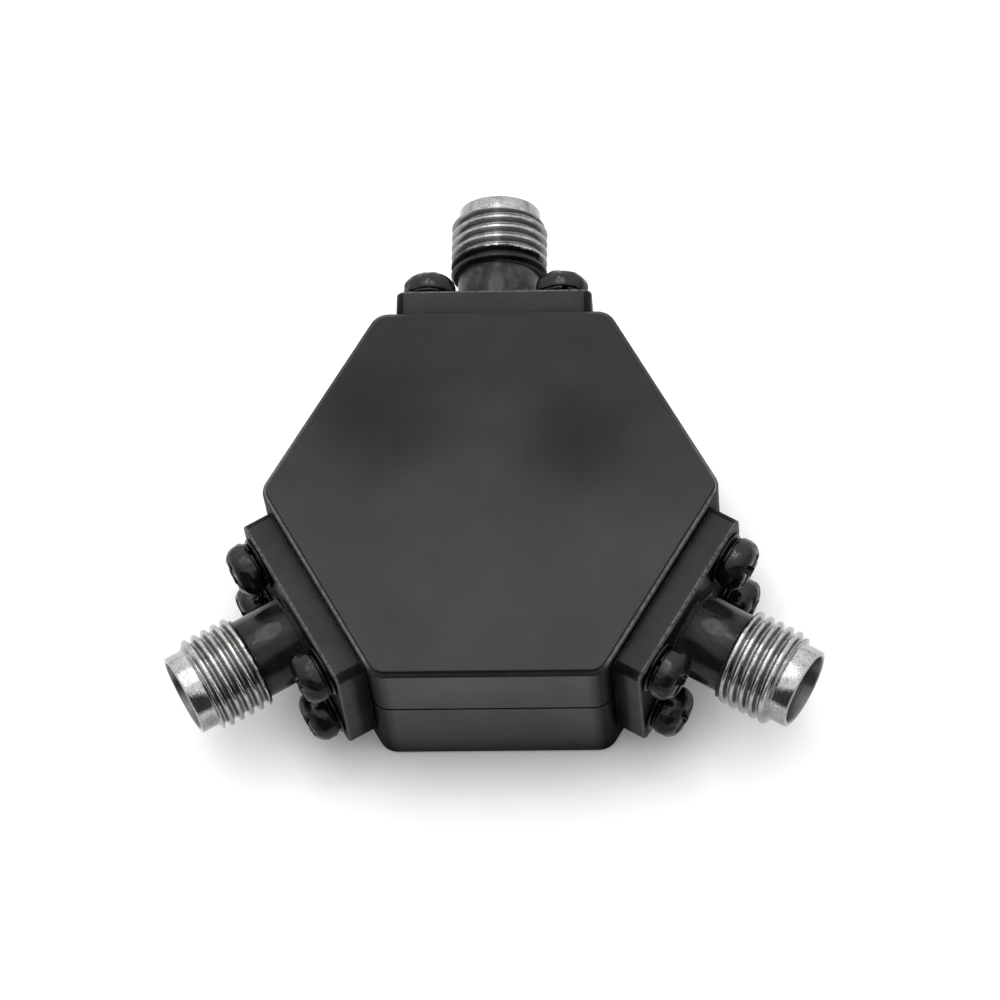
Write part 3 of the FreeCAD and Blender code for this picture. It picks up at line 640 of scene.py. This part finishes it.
# %% Give each solid its finish
KINDS = [
    ("_housing", housing_paint), ("_cover", housing_paint), ("_board_screw", screw_steel),
    ("_dielectric", insulator_white), ("_contact", contact_gold), ("_plug", resin_black),
    ("_board", laminate), ("_trace", copper_gold), ("_resistor", chip_black),
    *[(port + "_connector_shell", metal) for port, metal in connector_metal.items()],
    ("_screw_", fastener_paint), ("_washers", fastener_paint),
]
for name, solid in solids.items():
    finish = next(material for words, material in KINDS if words in name)
    solid.data.materials.clear()
    solid.data.materials.append(finish)
print(len(solids), "solids dressed")

# %% [markdown]
# ## Where a port stands
# Everything on a port is drawn round the port's own Z axis, from the housing's face outwards.
# Resin, screws and washers are alike at all three ports, so copies of their points are
# carried there. Objects could be turned and moved instead, but the solids all stay at the
# origin, and pieces that do the same are easy to compare with them.


# %% Places of the ports
def port_place(angle):
    """The matrix that carries a connector's own axes to a port."""
    out, up = Vector(outwards(angle)), Vector((0, 0, 1))
    axes = Matrix((up.cross(out), up, out)).transposed().to_4x4()
    return Matrix.Translation((out * FACE + up * AXIS_HEIGHT) * MM) @ axes


def stand(name, mesh, place, node, finish=None):
    """A copy of a mesh, carried to its place, that stands for a solid."""
    mesh = mesh.copy()
    mesh.transform(place)
    if finish:
        mesh.materials[0] = finish
    piece = add_object(name, mesh)
    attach(piece, "root")
    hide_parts(node)


def stand_on_ports(name, mesh, node):
    for port, angle in PORTS.items():
        stand("%s_%s" % (port, name), mesh, port_place(angle), "%s_%s" % (port, node))


for port, angle in PORTS.items():
    print(port, "port at", [round(c, 4) for c in port_place(angle).translation])

# %% [markdown]
# ## The connector's surface
# A lathe makes the barrel in one setting, so its skin is one closed surface: collar, neck,
# thread, plain lip, mouth and bore, then the flat flange with its four holes. The surface is
# kept as a list of points and faces, and each step adds a ring of points and joins it to the
# last one. Rings keep the edges crisp, which a subdivided block would lose.


# %% Skin helper
def smooth_step(share):
    share = min(max(share, 0.0), 1.0)
    return share * share * (3 - 2 * share)


def smooth(mesh, sharp_from):
    """Shade a mesh smooth but for edges sharper than an angle in degrees."""
    mesh.shade_smooth()
    mesh.set_sharp_from_angle(angle=math.radians(sharp_from))
    return mesh


class Skin:
    """Points in millimetres and faces between rings of points."""

    def __init__(self):
        self.points = []
        self.faces = []

    def add(self, points):
        start = len(self.points)
        self.points += [Vector(p) for p in points]
        return list(range(start, len(self.points)))

    def ring(self, radius, along, count, middle=(0, 0)):
        return self.add([(middle[0] + radius * math.cos(math.tau * k / count),
                          middle[1] + radius * math.sin(math.tau * k / count), along)
                         for k in range(count)])

    def join(self, ring, following):
        """A band of faces between two rings with equal counts."""
        count = len(ring)
        for k in range(count):
            n = (k + 1) % count
            self.faces.append((ring[k], ring[n], following[n], following[k]))
        return following

    def join_all(self, rings):
        for ring, following in zip(rings, rings[1:]):
            self.join(ring, following)
        return rings

    def lathe(self, profile, count, start=None, middle=(0, 0)):
        """Rings through a profile of (radius, along), joined one to the next."""
        rings = [start] if start else []
        return self.join_all(rings + [self.ring(radius, along, count, middle)
                                      for radius, along in profile])

    def cap(self, ring, other_way=False):
        self.faces.append(tuple(reversed(ring)) if other_way else tuple(ring))

    def fan(self, ring, tip):
        """Close a ring with triangles that meet in one point."""
        tip = self.add([tip])[0]
        self.faces += [(one, other, tip) for one, other in zip(ring, ring[1:] + ring[:1])]

    def piece_mesh(self, name, material):
        mesh = bpy.data.meshes.new(name)
        mesh.from_pydata([tuple(p * MM) for p in self.points], [], self.faces)
        mesh.validate()
        mesh.update()
        mesh.materials.append(material)
        return mesh


print("skin helper is ready")

# %% [markdown]
# ## The coupling thread
# The thread is 36 turns to the inch on 6.35 mm. A stack of rings only looks like a thread,
# because rings don't climb. Here the rows of points follow the real helix: a point moves one
# pitch along while it goes once round, and rows that run past either end are folded onto the
# end ring, so that the thread starts and stops in the way a cut one does.

# %% Thread helper
PITCH = 25.4 / 36
TURN_POINTS = 96
ROWS = 14
CREST_FLAT, FLANK = 0.09, 0.36


def thread_radius_at(phase, crest, depth):
    """Radius at a share of the pitch from a crest: the tops are worn flat and round."""
    away = abs((phase + 0.5) % 1.0 - 0.5)
    return crest - depth * smooth_step((away - CREST_FLAT) / FLANK)


def cut_thread(skin, first, start, end, crest, depth, pitch, points, rows, limit, ahead=0.0):
    """A helical skin from a first ring between two places. Returns its last ring.

    The limit gives the largest radius at a place, and the first crest lies ahead of the start.
    """
    def spot(turn, along):
        shape = thread_radius_at((along - start - ahead) / pitch - turn, crest, depth)
        r, angle = min(shape, limit(along)), math.tau * turn
        return (r * math.cos(angle), r * math.sin(angle), along)

    begin = skin.add([spot(k / points, start) for k in range(points)])
    finish = skin.add([spot(k / points, end) for k in range(points)])
    grid = {}

    def index(row, k):
        """The point of a row, counted on into the next turn, or folded onto an end."""
        if k == points:
            return index(row + rows, 0)
        along = start + (row / rows - 1 + k / points) * pitch
        if along <= start:
            return begin[k]
        if along >= end:
            return finish[k]
        if (row, k) not in grid:
            grid[row, k] = skin.add([spot(k / points, along)])[0]
        return grid[row, k]

    for row in range(math.ceil(((end - start) / pitch + 1) * rows)):
        for k in range(points):
            corners = [index(row, k), index(row, k + 1), index(row + 1, k + 1), index(row + 1, k)]
            kept = [c for n, c in enumerate(corners) if c not in corners[:n]]
            if len(kept) > 2:
                skin.faces.append(tuple(kept))
    skin.join(first, begin)
    return finish


print("thread pitch %.4f mm" % PITCH)

# %% [markdown]
# ## The flange
# The flange is a milled plate with rounded corners, a softly broken outer edge and four
# holes. Its faces have holes in them, so they can't be a ring of quads. Filling between
# the loops of points with triangles keeps the face flat and the holes round.

# %% Plate helpers
import bmesh

FLANGE = (12.7, 10.5)
FLANGE_THICK, FLANGE_CORNER = 1.95, 0.65
FLANGE_EDGE, EDGE_STEPS = 0.12, 5
HOLE_X, HOLE_Y, HOLE_RADIUS, HOLE_POINTS = 4.32, 3.1, 1.15, 32
HOLES = [(x * HOLE_X, y * HOLE_Y) for x in (-1, 1) for y in (-1, 1)]


def rounded_plate(inset, along, steps=14):
    """Points round the flange's outline, anticlockwise, drawn in by an inset."""
    half_x, half_y = (side / 2 - FLANGE_CORNER for side in FLANGE)
    corner = FLANGE_CORNER - inset
    spots = []
    for quarter, (sx, sy) in enumerate(((1, 1), (-1, 1), (-1, -1), (1, -1))):
        for step in range(steps + 1):
            angle = math.radians(90 * (quarter + step / steps))
            spots.append((sx * half_x + corner * math.cos(angle),
                          sy * half_y + corner * math.sin(angle), along))
    return spots


def fill_between(skin, loops, side):
    """Flat triangles that face one side, between an outer loop and those of its holes."""
    flat = bmesh.new()
    corners = {}
    for loop in loops:
        made = [flat.verts.new(skin.points[i]) for i in loop]
        corners.update(zip(made, loop))
        for one, other in zip(made, made[1:] + made[:1]):
            flat.edges.new((one, other))
    bmesh.ops.triangle_fill(flat, use_beauty=True, edges=flat.edges[:])
    for face in flat.faces:
        face.normal_update()
        spots = [corners[v] for v in face.verts]
        skin.faces.append(tuple(spots if face.normal.z * side > 0 else reversed(spots)))
    flat.free()


print("flange holes at", HOLES)

# %% Mill the flange
COLLAR, NECK, THREAD, PILOT = 2.95, 2.70, 3.175, 2.68
MOUTH, BORE = 2.30, 2.07
COLLAR_END, THREAD_START, RIM = 2.2, 5.35, 10.25
INSULATOR_FACE = 8.32


def mill_flange(shell):
    """The plate with its holes. Returns the foot of the collar and the loops of the back."""
    rings = [shell.add(rounded_plate(0, 0))]
    for step in range(EDGE_STEPS + 1):
        angle = math.radians(90 * step / EDGE_STEPS)
        along = FLANGE_THICK - FLANGE_EDGE + FLANGE_EDGE * math.sin(angle)
        rings.append(shell.add(rounded_plate(FLANGE_EDGE * (1 - math.cos(angle)), along)))
    shell.join_all(rings)
    holes = [shell.lathe([(HOLE_RADIUS, FLANGE_THICK), (HOLE_RADIUS, 0)], HOLE_POINTS,
                         middle=middle) for middle in HOLES]
    foot = shell.ring(COLLAR, FLANGE_THICK, TURN_POINTS)
    fill_between(shell, [rings[-1], foot] + [top for top, end in holes], 1)
    return foot, [rings[0]] + [end for top, end in holes]


print("flange", FLANGE, "and a collar of", COLLAR)

# %% [markdown]
# ## The barrel
# Collar, neck and mouth are plain turning, so a profile of radius and place is enough. Only
# the thread needs the helix from above. The rear socket's thread runs a little closer to its
# rim than the other two, so the place where the thread ends is handed in.

# %% Turn the barrel
FIRST_CREST, THREAD_DEPTH, THREAD_FOOT, LAST_CONE = 0.14, 0.38, 3.0, 0.22
EDGE, EDGE_MIDDLE = 0.07, 0.02
FILLET, FILLET_MIDDLE = 0.06, 0.015
LIP, LIP_MIDDLE = 0.12, 0.035
THREAD_ENDS = {"rear": 9.32, "left": 9.06, "right": 9.06}


def turn_connector(name, thread_end):
    shell = Skin()
    foot, back_loops = mill_flange(shell)
    neck = shell.lathe([(COLLAR, COLLAR_END - EDGE),
                        (COLLAR - EDGE_MIDDLE, COLLAR_END - EDGE_MIDDLE),
                        (COLLAR - EDGE, COLLAR_END), (NECK + FILLET, COLLAR_END),
                        (NECK + FILLET_MIDDLE, COLLAR_END + EDGE_MIDDLE),
                        (NECK, COLLAR_END + EDGE), (NECK, THREAD_START)], TURN_POINTS, foot)

    def cones(along):
        """The cones that trim the thread at its two ends."""
        rise = THREAD_FOOT + (along - THREAD_START)
        fall = PILOT + (thread_end - along) * (THREAD - PILOT) / LAST_CONE
        return min(rise, fall)

    thread = cut_thread(shell, neck[-1], THREAD_START, thread_end, THREAD, THREAD_DEPTH, PITCH,
                        TURN_POINTS, ROWS, cones, FIRST_CREST)
    bore = shell.lathe([(PILOT, RIM - LIP), (PILOT - LIP_MIDDLE, RIM - LIP_MIDDLE),
                        (PILOT - LIP, RIM), (MOUTH + LIP, RIM),
                        (MOUTH + LIP_MIDDLE, RIM - LIP_MIDDLE), (MOUTH, RIM - LIP),
                        (MOUTH, INSULATOR_FACE), (BORE, INSULATOR_FACE), (BORE, 0)],
                       TURN_POINTS, thread)
    fill_between(shell, back_loops + [bore[-1]], -1)
    return shell.piece_mesh(name, connector_metal["rear"])


shell_meshes = {port: turn_connector(port + "_turned_connector", end)
                for port, end in THREAD_ENDS.items()}
print("connector:", len(shell_meshes["rear"].vertices), "points,",
      len(shell_meshes["rear"].polygons), "faces")

# %% [markdown]
# ## The cross hole in the neck
# A hole is drilled across the neck and filled with resin, which keeps the insulator from
# turning. On a skin made of rings a round hole across them is hard to draw point by point.
# Cutting it with a peg, as the drill does, gives a clean rim where the two rounds meet.

# %% Drill the cross hole
DRILL_AT, DRILL_RADIUS = 3.7, 0.7
PEG_LONG, PEG_POINTS = 3.5, 40
SHARP_FROM = 35


def cut_with(mesh, cutter_mesh):
    """The first mesh with the second one's form taken out of it."""
    work, cutter = add_object("work", mesh), add_object("cutter", cutter_mesh)
    cut = work.modifiers.new("cut", "BOOLEAN")
    cut.operation, cut.solver, cut.object = "DIFFERENCE", "EXACT", cutter
    bpy.context.view_layer.update()
    result = work.evaluated_get(bpy.context.evaluated_depsgraph_get())
    drilled = bpy.data.meshes.new_from_object(result)
    for each in (work, cutter):
        bpy.data.objects.remove(each)
    return drilled


peg = Skin()
ends = peg.lathe([(DRILL_RADIUS, 0), (DRILL_RADIUS, PEG_LONG)], PEG_POINTS)
peg.cap(ends[0], other_way=True)
peg.cap(ends[1])
for spot in peg.points:
    spot.xyz = (spot.x, spot.z, DRILL_AT - spot.y)
peg_mesh = peg.piece_mesh("peg", connector_metal["rear"])
for port, turned_mesh in shell_meshes.items():
    drilled = cut_with(turned_mesh, peg_mesh)
    drilled.name = port + "_drilled_connector"
    smooth(drilled, SHARP_FROM)
    stand(port + "_connector", drilled, port_place(PORTS[port]), port + "_connector_shell",
          connector_metal[port])
print("drilled connector:", len(drilled.polygons), "faces")

# %% [markdown]
# ## Resin in the cross hole
# The resin lies almost flush in its hole, a little sunk in the middle, and some of it ran
# over the rim before the paint went on. A plug cut flush would show a sharp circle that the
# real one doesn't have. Rings of points that lie nearly flat in the middle, bend down onto
# the neck's round and thin out past the rim give the soft, faint disc.

# %% Pour the resin
FLAT, MERGED, FILM_FROM, SPREAD, OVAL = 0.40, 0.80, 0.72, 0.88, 1.15
FILM, PROUD, SUNK = 0.006, 0.004, 0.02
PLUG_RADIUS, PLUG_FOOT, PLUG_TOP = 0.98 * DRILL_RADIUS, 2.06, NECK - 0.04
RESIN_POINTS, RESIN_RINGS = 48, 20


def resin_surface(x, reach):
    """Height of the resin above the connector's axis: nearly flat, then down onto the neck."""
    neck_top = math.sqrt(NECK ** 2 - x * x)
    film = FILM - 2 * FILM * smooth_step((reach - FILM_FROM) / (SPREAD - FILM_FROM))
    share = smooth_step((reach - FLAT) / (MERGED - FLAT))
    flat = NECK + PROUD - SUNK * (1 - smooth_step(reach / FLAT))
    return flat * (1 - share) + (neck_top + film) * share


def resin_ring(skin, reach, low=None):
    """A ring on the resin's surface, or round the plug at a radius from the axis."""
    spots = []
    for k in range(RESIN_POINTS):
        angle = math.tau * k / RESIN_POINTS
        x, z = reach * math.cos(angle), reach * math.sin(angle)
        if low:
            spots.append((x, math.sqrt(low ** 2 - x * x), DRILL_AT - z))
        else:
            spots.append((x, resin_surface(x, reach), DRILL_AT - OVAL * z))
    return skin.add(spots)


resin = Skin()
rings = [resin_ring(resin, PLUG_RADIUS, low) for low in (PLUG_FOOT, PLUG_TOP)]
rings += [resin_ring(resin, SPREAD * (1 - n / RESIN_RINGS)) for n in range(RESIN_RINGS)]
resin.join_all(rings)
resin.fan(rings[-1], (0, resin_surface(0, 0), DRILL_AT))
resin.cap(rings[0], other_way=True)
resin_mesh = resin.piece_mesh("poured_resin", resin_black)
resin_mesh.shade_smooth()
stand_on_ports("resin", resin_mesh, "resin_plug")
print("resin:", len(resin_mesh.polygons), "faces")

# %% [markdown]
# ## Pan-head screws
# The heads are pan heads with a cross recess, and brushed paint has filled their corners, so
# nothing on them is sharp. A cross cut with a sharp tool would look new. Here the top of the
# head is a grid of rings, and each point sinks by how deep it lies inside the cross, which
# leaves soft walls like paint does. A little noise adds the lumps.

# %% Shape of a head
HEAD, HEAD_TALL, HEAD_ROUND = 1.68, 1.25, 0.85
SKIRT = [(-0.20, -0.18), (-0.09, -0.14), (-0.02, -0.05), (0, 0.08), (0, 0.30)]
ROUND_STEPS, TOP_STEP, TOP_LEFT = 9, 0.07, 0.1
ARM_HALF, ARM_REACH, CROSS_DEEP = 0.25, 1.05, 0.70
WALL_OUT, WALL_WIDE = 0.06, 0.17
LUMP, COAT_THICK = 0.07, 0.04


def cross_sink(x, y):
    """How far the cross recess lowers the head at a point."""
    inside = -1.0
    for a, b in ((x, y), (y, x)):
        inside = max(inside, min(ARM_HALF - abs(b), ARM_REACH - abs(a)))
    return CROSS_DEEP * smooth_step((inside + WALL_OUT) / WALL_WIDE)


def lumps(spot, seed, depth):
    """Paint lumps: a small shift along the direction away from the middle."""
    broad = noise.noise(spot * 1.7 + Vector((seed, 0, 0)))
    fine = noise.noise(spot * 4.1 + Vector((0, seed, 0)))
    return depth * (broad + 0.5 * fine)


def head_profile():
    """Radius and height from the skirt, round the shoulder and across the top."""
    shoulder, level = HEAD - HEAD_ROUND, HEAD_TALL - HEAD_ROUND
    profile = [(HEAD + out, along) for out, along in SKIRT]
    for step in range(ROUND_STEPS + 1):
        angle = math.radians(90 * step / ROUND_STEPS)
        profile.append((shoulder + HEAD_ROUND * math.cos(angle),
                        level + HEAD_ROUND * math.sin(angle)))
    while shoulder > TOP_LEFT:
        shoulder -= TOP_STEP
        profile.append((shoulder, HEAD_TALL))
    return profile


print("head profile:", len(head_profile()), "rings")

# %% Model a screw
SHANK, SHANK_LONG, SHANK_POINTS = 1.0, 5.6, 32
SHANK_PITCH, SHANK_ROWS, SHANK_DEPTH, SHANK_THREAD_END = 0.4, 8, 0.22, -1.0
SHANK_TOP, TOP_IN, TIP_IN, TIP_CONE = 0.2, 0.05, 0.12, 0.2
HEAD_POINTS, SCREW_SHARP_FROM = 96, 60


def screw_mesh(name, seed):
    screw = Skin()
    rings = screw.lathe(head_profile(), HEAD_POINTS)
    screw.fan(rings[-1], (0, 0, HEAD_TALL))
    screw.cap(rings[0], other_way=True)
    for spot in screw.points:
        out = Vector((spot.x, spot.y, 0.6 * spot.z)).normalized()
        spot += out * (lumps(spot, seed, LUMP) + COAT_THICK)
        spot.z -= cross_sink(spot.x, spot.y)
    shank_top = screw.ring(SHANK - TOP_IN, SHANK_TOP, SHANK_POINTS)
    screw.cap(shank_top)
    tip = screw.ring(SHANK - TIP_IN, -SHANK_LONG, SHANK_POINTS)
    screw.cap(tip, other_way=True)
    thread = cut_thread(screw, tip, -SHANK_LONG, SHANK_THREAD_END, SHANK, SHANK_DEPTH,
                        SHANK_PITCH, SHANK_POINTS, SHANK_ROWS,
                        lambda along: min(SHANK, SHANK - TIP_CONE + (along + SHANK_LONG)))
    screw.join(thread, shank_top)
    return smooth(screw.piece_mesh(name, fastener_paint), SCREW_SHARP_FROM)


screw_meshes = [screw_mesh("painted_screw_%d" % n, n * 7.3) for n in range(4)]
print("screw:", len(screw_meshes[0].polygons), "faces, drawn in", len(screw_meshes), "ways")

# %% Drive the twelve screws home
PLAIN_THICK, SPLIT_THICK = 0.25, 0.40
HEAD_SEAT = FLANGE_THICK + PLAIN_THICK + SPLIT_THICK
chance = random.Random(12)
for port, angle in PORTS.items():
    for row, y in (("upper", HOLE_Y), ("lower", -HOLE_Y)):
        for side, x in (("a", HOLE_X), ("b", -HOLE_X)):
            node = "%s_flange_screw_%s_%s" % (port, row, side)
            seat = Matrix.Translation(Vector((x, y, HEAD_SEAT)) * MM)
            spin = Matrix.Rotation(chance.uniform(0, math.tau), 4, "Z")
            stand(node.replace("flange_screw", "painted_screw"), chance.choice(screw_meshes),
                  port_place(angle) @ seat @ spin, node)
print("twelve screws driven")

# %% [markdown]
# ## Plain and split washers
# Under each head lie a plain washer and a split one. The split washer is a wire with a
# square section, wound once and cut at a slant. A closed ring with a notch would miss the
# slant and the small step between its ends, so its section is carried round step by step.

# %% Plain washers
HOLE, PLAIN, SPLIT = 1.1, 1.75, 1.60
PLAIN_SOFT, SPLIT_SOFT, WASHER_LUMP = 0.11, 0.12, 0.02
WASHER_STEPS, WASHER_SHARP_FROM = 48, 50


def washer_section(outer, thick, soft):
    """The section of a washer with softened corners, anticlockwise from inside below."""
    return [(HOLE + soft, 0), (outer - soft, 0), (outer, soft), (outer, thick - soft),
            (outer - soft, thick), (HOLE + soft, thick), (HOLE, thick - soft), (HOLE, soft)]


plain = Skin()
for n, (x, y) in enumerate(HOLES):
    first = len(plain.points)
    section = washer_section(PLAIN, PLAIN_THICK, PLAIN_SOFT)
    rings = plain.lathe([(r, FLANGE_THICK + z) for r, z in section], WASHER_STEPS, middle=(x, y))
    plain.join(rings[-1], rings[0])
    for spot in plain.points[first:]:
        spot += Vector((spot.x - x, spot.y - y, 0)).normalized() * lumps(spot, n, WASHER_LUMP)
plain_mesh = smooth(plain.piece_mesh("plain_washers", fastener_paint), WASHER_SHARP_FROM)
stand_on_ports("plain_washers", plain_mesh, "flat_washers")
print("plain washers:", len(plain_mesh.polygons), "faces a port")

# %% Split washers
GAP, GAP_AT, STEP_UP, SLANT, ASKEW = 0.30, 1.3, 0.06, 0.16, 0.6
HALF_GAP = math.asin(GAP / 2 / GAP_AT)

split = Skin()
for x, y in HOLES:
    opening = math.radians(90) + chance.uniform(-ASKEW, ASKEW)
    slices = []
    for step in range(WASHER_STEPS + 1):
        share = step / WASHER_STEPS
        spots = []
        for r, z in washer_section(SPLIT, SPLIT_THICK - STEP_UP, SPLIT_SOFT):
            slant = SLANT * (z / SPLIT_THICK - 0.5)
            angle = opening + HALF_GAP + slant + share * (math.tau - 2 * HALF_GAP)
            climb = FLANGE_THICK + PLAIN_THICK + STEP_UP * share + z
            spots.append((x + r * math.cos(angle), y + r * math.sin(angle), climb))
        slices.append(split.add(spots))
    for one, other in zip(slices, slices[1:]):
        split.join(other, one)
    split.cap(slices[0])
    split.cap(slices[-1], other_way=True)
split_mesh = smooth(split.piece_mesh("split_washers", fastener_paint), WASHER_SHARP_FROM)
stand_on_ports("split_washers", split_mesh, "spring_washers")
print("split washers:", len(split_mesh.polygons), "faces a port")
